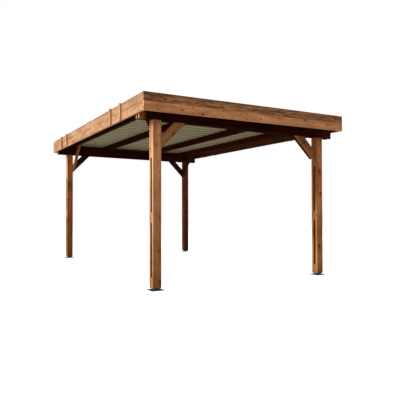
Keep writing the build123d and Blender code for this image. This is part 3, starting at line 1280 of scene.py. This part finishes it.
class CARPORT_OT_bolts(bpy.types.Operator):
    """Hexagon bolts with washers through the beams and the side braces"""

    bl_idname = "carport.bolts"
    bl_label = "Bolts"

    def execute(self, context):
        sizes = context.scene.carport_fasteners
        tree = head_tree("bolt heads", HEXAGON_SIDES, False)
        measures = (sizes.bolt_radius, sizes.bolt_rise, sizes.washer_radius, sizes.washer_rise)
        finish = metal("black bolt", context.scene.carport_steel.bolt)
        set_heads(context, "frame_bolts", tree, bolt_spots(), measures, finish)
        return {"FINISHED"}


class CARPORT_OT_roof_screws(bpy.types.Operator):
    """Hexagon screws with sealing washers, through the pans of the roof sheets into the rafters"""

    bl_idname = "carport.roof_screws"
    bl_label = "Roof screws"

    def execute(self, context):
        sizes = context.scene.carport_fasteners
        tree = head_tree("roof screw heads", HEXAGON_SIDES, False)
        measures = (sizes.roof_screw_radius, sizes.roof_screw_rise, sizes.seal_radius, sizes.seal_rise)
        finish = metal("zinc plate", context.scene.carport_steel.zinc)
        set_heads(context, "roof_screws", tree, roof_spots(), measures, finish)
        return {"FINISHED"}


FLOOR_SIDES = 96
FLOOR_END_SHARE = 0.6
FLOOR_ROUGHNESS = 0.9
FLOOR_GLOSS = 0.1
SENSOR_WIDTH = 36.0
VIEW_REACH = 200.0


def add_floor(scene, stage):
    """Round pale floor that fades into the background."""
    mesh = bmesh.new()
    bmesh.ops.create_circle(mesh, cap_ends=True, radius=stage.floor_radius, segments=FLOOR_SIDES)
    data = bpy.data.meshes.new("floor")
    mesh.to_mesh(data)
    mesh.free()
    graph, close = new_material("pale floor")
    reach = graph.length(graph.place())
    seen = 1.0 - graph.smooth(reach, stage.floor_fade, stage.floor_radius * FLOOR_END_SHARE)
    glow = graph.add("ShaderNodeLightPath", None, None, "Is Camera Ray") * stage.floor_glow
    data.materials.append(close(
        Base_Color=opaque(stage.floor_colour), Roughness=FLOOR_ROUGHNESS, Specular_IOR_Level=FLOOR_GLOSS,
        Alpha=seen, Emission_Color=graph.vector(glow, glow, glow), Emission_Strength=1.0))
    floor = bpy.data.objects.new("floor", data)
    scene.collection.objects.link(floor)


def lamp_turn(way):
    """Turn of a lamp that shines from a way."""
    return way.to_track_quat("Z", "Y").to_euler()


def compass(heading, elevation):
    """Way at a heading, turned from the rear to the right, and an elevation."""
    flat = math.cos(elevation)
    return Vector((math.sin(heading) * flat, math.cos(heading) * flat, math.sin(elevation)))


def add_light(scene, stage):
    """Even light from all round, on a white background, a key light and a low softbox on the left."""
    world = bpy.data.worlds.new("studio")
    world.use_nodes = True
    world.node_tree.nodes.clear()
    graph = Graph(world.node_tree)
    seen = graph.add("ShaderNodeLightPath", None, None, "Is Camera Ray")
    shade = graph.mix(seen, stage.fill_colour, WHITE)
    background = graph.add("ShaderNodeBackground", None, {"Color": shade, "Strength": 1.0})
    graph.add("ShaderNodeOutputWorld", None, {"Surface": background})
    scene.world = world
    key = bpy.data.lights.new("key", "SUN")
    key.energy = stage.key_strength
    key.angle = stage.key_softness
    key.color = stage.key_colour
    lamp = bpy.data.objects.new("key", key)
    lamp.rotation_euler = lamp_turn(compass(stage.key_heading + math.pi, stage.key_elevation))
    scene.collection.objects.link(lamp)
    light = bpy.data.lights.new("softbox", "AREA")
    light.shape = "RECTANGLE"
    light.size = stage.softbox_length
    light.size_y = stage.softbox_height
    light.energy = stage.softbox_power
    softbox = bpy.data.objects.new("softbox", light)
    softbox.location = stage.softbox_place
    softbox.rotation_euler = lamp_turn(-ACROSS)
    softbox.visible_camera = False
    scene.collection.objects.link(softbox)


def add_camera(scene, stage):
    """Camera at the photograph's place and angle."""
    data = bpy.data.cameras.new("camera")
    data.lens = stage.camera_lens
    data.sensor_width = SENSOR_WIDTH
    data.clip_end = VIEW_REACH
    camera = bpy.data.objects.new("camera", data)
    forward = compass(stage.camera_heading, stage.camera_pitch)
    right = forward.cross(UP).normalized()
    up = right.cross(forward)
    turn = Matrix((right, up, -forward)).transposed() @ Matrix.Rotation(stage.camera_roll, 3, "Z")
    camera.matrix_world = Matrix.Translation(stage.camera_place) @ turn.to_4x4()
    scene.collection.objects.link(camera)
    scene.camera = camera


class CARPORT_OT_stage(bpy.types.Operator):
    """Pale floor, soft light and the camera"""

    bl_idname = "carport.stage"
    bl_label = "Stage"

    def execute(self, context):
        scene = context.scene
        scene.view_settings.view_transform = "Standard"
        add_floor(scene, scene.carport_stage)
        add_light(scene, scene.carport_stage)
        add_camera(scene, scene.carport_stage)
        return {"FINISHED"}


OPERATORS = (
    CARPORT_OT_posts,
    CARPORT_OT_beams,
    CARPORT_OT_rafters,
    CARPORT_OT_braces,
    CARPORT_OT_fascia,
    CARPORT_OT_roof,
    CARPORT_OT_feet,
    CARPORT_OT_screws,
    CARPORT_OT_bolts,
    CARPORT_OT_roof_screws,
    CARPORT_OT_stage,
)
GROUPS = {
    "carport_timber": TimberSettings,
    "carport_steel": SteelSettings,
    "carport_fasteners": FastenerSettings,
    "carport_stage": StageSettings,
}


class CARPORT_PT_sidebar(bpy.types.Panel):
    """Lists the carport's pieces and their settings"""

    bl_idname = "CARPORT_PT_sidebar"
    bl_label = "Carport"
    bl_space_type = "VIEW_3D"
    bl_region_type = "UI"
    bl_category = "Carport"

    def draw(self, context):
        for operator in OPERATORS:
            self.layout.operator(operator.bl_idname)
        for name in GROUPS:
            group = getattr(context.scene, name)
            box = self.layout.box()
            for key in group.__annotations__:
                box.prop(group, key)


CLASSES = (*GROUPS.values(), *OPERATORS, CARPORT_PT_sidebar)


def register():
    """Adds the classes and the settings to Blender."""
    for cls in CLASSES:
        bpy.utils.register_class(cls)
    for name, group in GROUPS.items():
        setattr(bpy.types.Scene, name, bpy.props.PointerProperty(type=group))


def unregister():
    """Takes the classes and the settings out of Blender."""
    for name in GROUPS:
        delattr(bpy.types.Scene, name)
    for cls in reversed(CLASSES):
        bpy.utils.unregister_class(cls)


def main():
    """Builds the whole carport."""
    register()
    bpy.ops.carport.posts()
    bpy.ops.carport.beams()
    bpy.ops.carport.rafters()
    bpy.ops.carport.braces()
    bpy.ops.carport.fascia()
    bpy.ops.carport.roof()
    bpy.ops.carport.feet()
    bpy.ops.carport.screws()
    bpy.ops.carport.bolts()
    bpy.ops.carport.roof_screws()
    bpy.ops.carport.stage()


if __name__ == "__main__":
    main()
